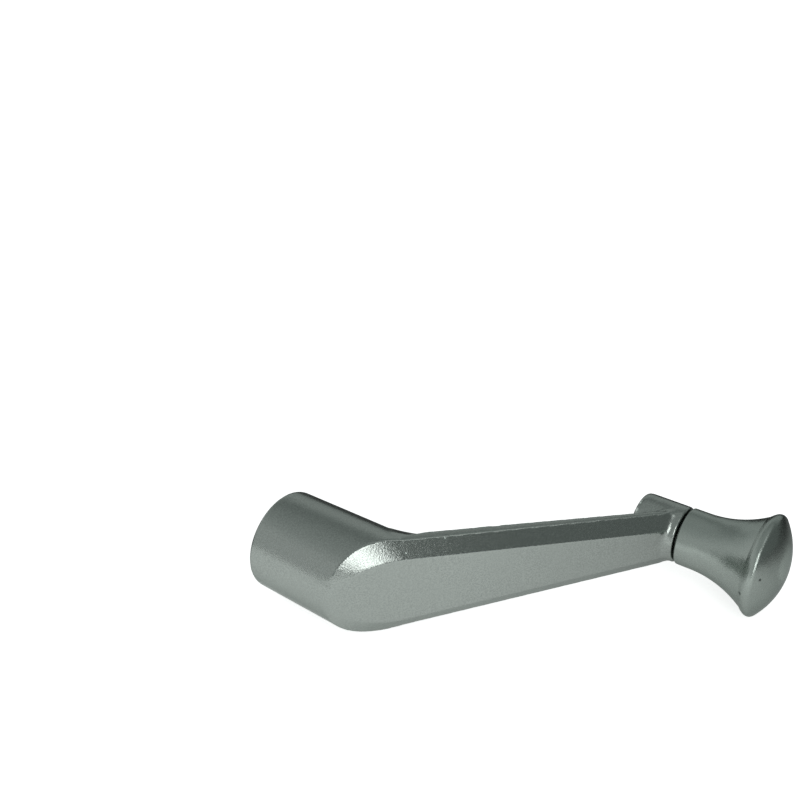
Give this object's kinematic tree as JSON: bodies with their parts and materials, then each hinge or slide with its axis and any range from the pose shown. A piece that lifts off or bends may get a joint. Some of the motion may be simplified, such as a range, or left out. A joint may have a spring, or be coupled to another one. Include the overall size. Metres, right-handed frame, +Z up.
{
  "type": "window crank handle",
  "caption": "Cast window crank handle with a splined blind hub, a bevelled tapering arm and a free-turning flared knob.",
  "frame": {"origin": "centre of the stud bore's mouth, on the hub's axis", "axes": "+Y along the hub's axis and out of its mouth, +X from the hub's axis to the knob's axis, +Z up as the handle lies on its side"},
  "size_m": [0.0648, 0.0772, 0.0192],
  "materials": {
    "arm_casting": "satin aluminium lacquer on a zinc die casting, fine grain",
    "knob_casting": "satin aluminium lacquer on a zinc die casting, worn smoother than the arm",
    "pin_steel": "bright, hammered over at the end",
    "washer_steel": "zinc plated",
    "screw_steel": "black oxide"
  },
  "bodies": {
    "arm": {"crank_arm": "arm_casting"},
    "knob": {"knob": "knob_casting", "knob_pin": "pin_steel", "pin_washer": "washer_steel"},
    "set_screw": {"set_screw": "screw_steel"}
  },
  "joints": [
    {"name": "knob_spin", "type": "hinge", "parent": "arm", "child": "knob", "pos_m": [0.0457, -0.058, 0], "axis": [0, 1, 0], "continuous": true},
    {"name": "set_screw_travel", "type": "slide", "parent": "arm", "child": "set_screw", "axis": [-1, 0, 0], "range_m": [-0.002, 0.0013]}
  ]
}
